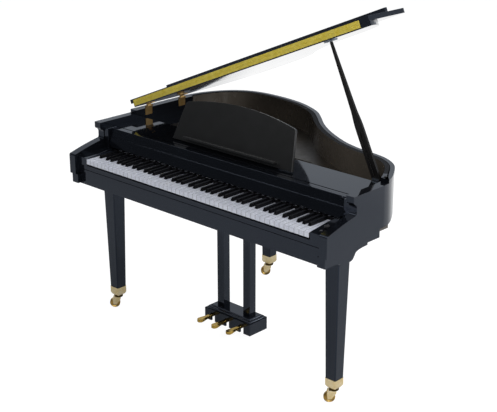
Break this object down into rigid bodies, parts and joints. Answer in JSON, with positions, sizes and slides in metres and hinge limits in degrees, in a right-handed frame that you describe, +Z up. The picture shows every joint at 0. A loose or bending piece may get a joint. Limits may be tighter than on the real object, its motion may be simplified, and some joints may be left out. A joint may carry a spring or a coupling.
{
  "type": "digital grand piano",
  "caption": "Digital grand piano with a propped lid, folding key cover, music desk, pedal lyre and castered legs.",
  "frame": {"origin": "on the floor under the middle of the part's bounding box", "axes": "+Z up, +X to the player's right, +Y from the keyboard towards the tail"},
  "size_m": [1.4176, 0.973, 1.4474],
  "materials": {
    "black_lacquer": "high-gloss black polyester lacquer on board",
    "painted_board": "satin dark paint on board",
    "brass": "polished",
    "white_key": "moulded white, satin gloss",
    "black_key": "moulded black, fine satin",
    "tread": "moulded tread",
    "black_plastic": "moulded",
    "steel": "zinc plated",
    "circuit_board": "solder mask over glass laminate"
  },
  "bodies": {
    "case": {"rim": "black_lacquer", "case_skirt": "black_lacquer", "key_bed": "painted_board", "bottom_board": "painted_board", "inner_deck": "painted_board", "right_key_block": "black_lacquer", "left_key_block": "black_lacquer", "key_frame": "black_plastic", "top_board": "black_lacquer", "rim_hinge_leaf_1": "brass", "rim_hinge_leaf_2": "brass", "prop_bracket": "steel", "leg_left": "black_lacquer", "leg_right": "black_lacquer", "leg_rear": "black_lacquer", "ferrule_left": "brass", "ferrule_right": "brass", "ferrule_rear": "brass", "lyre": "black_lacquer", "power_inlet": "black_plastic", "speaker_left": "black_plastic", "speaker_right": "black_plastic", "main_board": "circuit_board"},
    "lid": {"lid": "black_lacquer", "lid_long_leaf": "brass", "lid_hinge_leaf_1": "brass", "lid_hinge_leaf_2": "brass", "prop_plate": "steel"},
    "flap": {"lid_flap": "black_lacquer", "flap_long_leaf": "brass"},
    "prop": {"lid_prop": "black_lacquer"},
    "cover": {"key_cover": "black_lacquer"},
    "cover_lip": {"key_cover_lip": "black_lacquer"},
    "desk": {"music_desk": "black_lacquer"},
    "strut": {"desk_strut": "black_lacquer"},
    "volume": {"volume_knob": "black_plastic"},
    "power": {"power_button": "black_plastic"},
    "whites_1": {"white_keys_1": "white_key"},
    "blacks_1": {"black_keys_1": "black_key"},
    "whites_2": {"white_keys_2": "white_key"},
    "blacks_2": {"black_keys_2": "black_key"},
    "whites_3": {"white_keys_3": "white_key"},
    "blacks_3": {"black_keys_3": "black_key"},
    "whites_4": {"white_keys_4": "white_key"},
    "blacks_4": {"black_keys_4": "black_key"},
    "whites_5": {"white_keys_5": "white_key"},
    "blacks_5": {"black_keys_5": "black_key"},
    "whites_6": {"white_keys_6": "white_key"},
    "blacks_6": {"black_keys_6": "black_key"},
    "whites_7": {"white_keys_7": "white_key"},
    "blacks_7": {"black_keys_7": "black_key"},
    "pedal_left": {"pedal_left": "brass"},
    "pedal_middle": {"pedal_middle": "brass"},
    "pedal_right": {"pedal_right": "brass"},
    "swivel_left": {"caster_fork_left": "brass"},
    "wheel_left": {"caster_wheel_left": "tread"},
    "swivel_right": {"caster_fork_right": "brass"},
    "wheel_right": {"caster_wheel_right": "tread"},
    "swivel_rear": {"caster_fork_rear": "brass"},
    "wheel_rear": {"caster_wheel_rear": "tread"}
  },
  "joints": [
    {"name": "lid_lift", "type": "hinge", "parent": "case", "child": "lid", "pos_m": [-0.66725, 0.0355, 0.874], "axis": [0, -1, 0], "range_deg": [0, 20]},
    {"name": "flap_fold", "type": "hinge", "parent": "lid", "child": "flap", "pos_m": [-0.06908, -0.1402, 1.1543], "axis": [0.9225, 0, 0.3859], "range_deg": [0, 178]},
    {"name": "prop_fold", "type": "hinge", "parent": "case", "child": "prop", "pos_m": [0.60875, -0.0795, 0.826], "axis": [0, 1, 0], "range_deg": [-60, 0]},
    {"name": "cover_turn", "type": "hinge", "parent": "case", "child": "cover", "pos_m": [0.00075, -0.3096, 0.749], "axis": [1, 0, 0], "range_deg": [0, 104]},
    {"name": "cover_lip_fold", "type": "hinge", "parent": "cover", "child": "cover_lip", "pos_m": [0.00075, -0.28929, 0.82696], "axis": [-1, 0, 0], "range_deg": [0, 180]},
    {"name": "desk_fold", "type": "hinge", "parent": "case", "child": "desk", "pos_m": [0.00075, -0.2285, 0.836], "axis": [-1, 0, 0], "range_deg": [0, 68]},
    {"name": "desk_strut_fold", "type": "hinge", "parent": "case", "child": "strut", "pos_m": [0.00075, -0.1215, 0.832], "axis": [-1, 0, 0], "range_deg": [0, 123]},
    {"name": "white_press_1", "type": "hinge", "parent": "case", "child": "whites_1", "pos_m": [0.00075, -0.2295, 0.715], "axis": [1, 0, 0], "range_deg": [0, 2.36], "stiffness_Nm_per_rad": 10, "springref_deg": -14.32},
    {"name": "white_press_2", "type": "hinge", "parent": "case", "child": "whites_2", "pos_m": [0.00075, -0.2295, 0.715], "axis": [1, 0, 0], "range_deg": [0, 2.36], "stiffness_Nm_per_rad": 10, "springref_deg": -14.32},
    {"name": "white_press_3", "type": "hinge", "parent": "case", "child": "whites_3", "pos_m": [0.00075, -0.2295, 0.715], "axis": [1, 0, 0], "range_deg": [0, 2.36], "stiffness_Nm_per_rad": 10, "springref_deg": -14.32},
    {"name": "white_press_4", "type": "hinge", "parent": "case", "child": "whites_4", "pos_m": [0.00075, -0.2295, 0.715], "axis": [1, 0, 0], "range_deg": [0, 2.36], "stiffness_Nm_per_rad": 10, "springref_deg": -14.32},
    {"name": "white_press_5", "type": "hinge", "parent": "case", "child": "whites_5", "pos_m": [0.00075, -0.2295, 0.715], "axis": [1, 0, 0], "range_deg": [0, 2.36], "stiffness_Nm_per_rad": 10, "springref_deg": -14.32},
    {"name": "white_press_6", "type": "hinge", "parent": "case", "child": "whites_6", "pos_m": [0.00075, -0.2295, 0.715], "axis": [1, 0, 0], "range_deg": [0, 2.36], "stiffness_Nm_per_rad": 10, "springref_deg": -14.32},
    {"name": "white_press_7", "type": "hinge", "parent": "case", "child": "whites_7", "pos_m": [0.00075, -0.2295, 0.715], "axis": [1, 0, 0], "range_deg": [0, 2.36], "stiffness_Nm_per_rad": 10, "springref_deg": -14.32},
    {"name": "black_press_1", "type": "hinge", "parent": "case", "child": "blacks_1", "pos_m": [0.00075, -0.2295, 0.715], "axis": [1, 0, 0], "range_deg": [0, 2.9], "stiffness_Nm_per_rad": 4, "springref_deg": -14.32},
    {"name": "black_press_2", "type": "hinge", "parent": "case", "child": "blacks_2", "pos_m": [0.00075, -0.2295, 0.715], "axis": [1, 0, 0], "range_deg": [0, 2.9], "stiffness_Nm_per_rad": 4, "springref_deg": -14.32},
    {"name": "black_press_3", "type": "hinge", "parent": "case", "child": "blacks_3", "pos_m": [0.00075, -0.2295, 0.715], "axis": [1, 0, 0], "range_deg": [0, 2.9], "stiffness_Nm_per_rad": 4, "springref_deg": -14.32},
    {"name": "black_press_4", "type": "hinge", "parent": "case", "child": "blacks_4", "pos_m": [0.00075, -0.2295, 0.715], "axis": [1, 0, 0], "range_deg": [0, 2.9], "stiffness_Nm_per_rad": 4, "springref_deg": -14.32},
    {"name": "black_press_5", "type": "hinge", "parent": "case", "child": "blacks_5", "pos_m": [0.00075, -0.2295, 0.715], "axis": [1, 0, 0], "range_deg": [0, 2.9], "stiffness_Nm_per_rad": 4, "springref_deg": -14.32},
    {"name": "black_press_6", "type": "hinge", "parent": "case", "child": "blacks_6", "pos_m": [0.00075, -0.2295, 0.715], "axis": [1, 0, 0], "range_deg": [0, 2.9], "stiffness_Nm_per_rad": 4, "springref_deg": -14.32},
    {"name": "black_press_7", "type": "hinge", "parent": "case", "child": "blacks_7", "pos_m": [0.00075, -0.2295, 0.715], "axis": [1, 0, 0], "range_deg": [0, 2.9], "stiffness_Nm_per_rad": 4, "springref_deg": -14.32},
    {"name": "pedal_press_left", "type": "hinge", "parent": "case", "child": "pedal_left", "pos_m": [-0.12825, -0.1375, 0.086], "axis": [1, 0, 0], "range_deg": [0, 4.1], "stiffness_Nm_per_rad": 20, "springref_deg": -8.59},
    {"name": "pedal_press_middle", "type": "hinge", "parent": "case", "child": "pedal_middle", "pos_m": [-0.04425, -0.1375, 0.086], "axis": [1, 0, 0], "range_deg": [0, 4.1], "stiffness_Nm_per_rad": 20, "springref_deg": -8.59},
    {"name": "pedal_press_right", "type": "hinge", "parent": "case", "child": "pedal_right", "pos_m": [0.03975, -0.1375, 0.086], "axis": [1, 0, 0], "range_deg": [0, 4.1], "stiffness_Nm_per_rad": 20, "springref_deg": -8.59},
    {"name": "caster_swivel_left", "type": "hinge", "parent": "case", "child": "swivel_left", "pos_m": [-0.62225, -0.3195, 0.08], "axis": [0, 0, 1], "continuous": true},
    {"name": "caster_roll_left", "type": "hinge", "parent": "swivel_left", "child": "wheel_left", "pos_m": [-0.63468, -0.33109, 0.023], "axis": [0.682, -0.7314, 0], "continuous": true},
    {"name": "caster_swivel_right", "type": "hinge", "parent": "case", "child": "swivel_right", "pos_m": [0.62375, -0.3195, 0.08], "axis": [0, 0, 1], "continuous": true},
    {"name": "caster_roll_right", "type": "hinge", "parent": "swivel_right", "child": "wheel_right", "pos_m": [0.61132, -0.33109, 0.023], "axis": [0.682, -0.7314, 0], "continuous": true},
    {"name": "caster_swivel_rear", "type": "hinge", "parent": "case", "child": "swivel_rear", "pos_m": [-0.37725, 0.4125, 0.08], "axis": [0, 0, 1], "continuous": true},
    {"name": "caster_roll_rear", "type": "hinge", "parent": "swivel_rear", "child": "wheel_rear", "pos_m": [-0.38968, 0.40091, 0.023], "axis": [0.682, -0.7314, 0], "continuous": true},
    {"name": "volume_turn", "type": "hinge", "parent": "case", "child": "volume", "pos_m": [0.64383, -0.4095, 0.745], "axis": [0, 0, 1], "range_deg": [-135, 135]},
    {"name": "power_push", "type": "slide", "parent": "case", "child": "power", "axis": [0, 0, -1], "range_m": [0, 0.0025], "stiffness_N_per_m": 400, "springref_m": -0.003}
  ],
  "couplings": [
    {"joint": "cover_lip_fold", "follows": "cover_turn", "ratio": 1.73},
    {"joint": "desk_strut_fold", "follows": "desk_fold", "ratio": 1.8}
  ]
}
